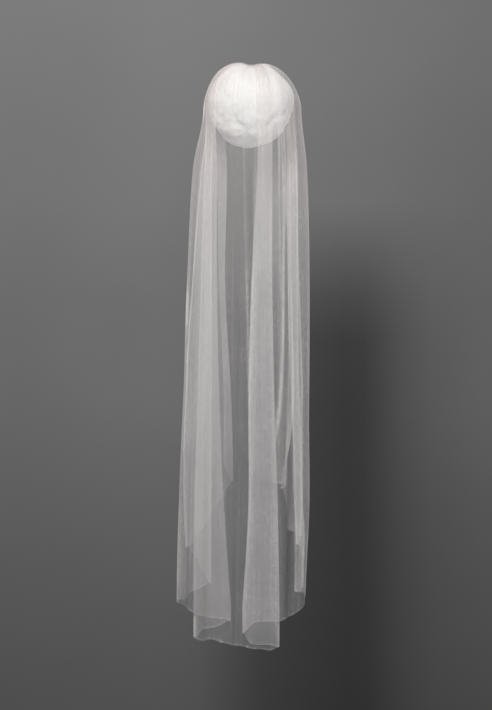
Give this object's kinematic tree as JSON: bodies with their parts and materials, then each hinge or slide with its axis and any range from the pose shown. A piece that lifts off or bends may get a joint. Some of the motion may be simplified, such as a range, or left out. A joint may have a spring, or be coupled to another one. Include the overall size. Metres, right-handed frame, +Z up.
{
  "type": "bridal veil on a padded ball support",
  "caption": "Long veil of fine tulle gathered at the crown, draped over a padded ball and falling in stacked folds with cascading sides and an open back.",
  "frame": {"origin": "centre of the small ruffled gather at the crown, where the veil is held up", "axes": "+Z up through the crown gather, -Y towards the full-length centre panel that faces the viewer, +Y towards the open back, +X to the viewer's right"},
  "size_m": [0.3005, 0.2233, 1.3023],
  "materials": {
    "tulle": "fine sheer net with a raw cut edge",
    "wadding": "soft fluffy wadding"
  },
  "bodies": {
    "root": {"padded_ball": "wadding", "gathered_heading": "tulle", "panel_front_centre": "tulle", "folds_front_left": "tulle", "folds_front_right": "tulle", "cascade_back_left": "tulle", "cascade_back_right": "tulle"}
  },
  "joints": []
}
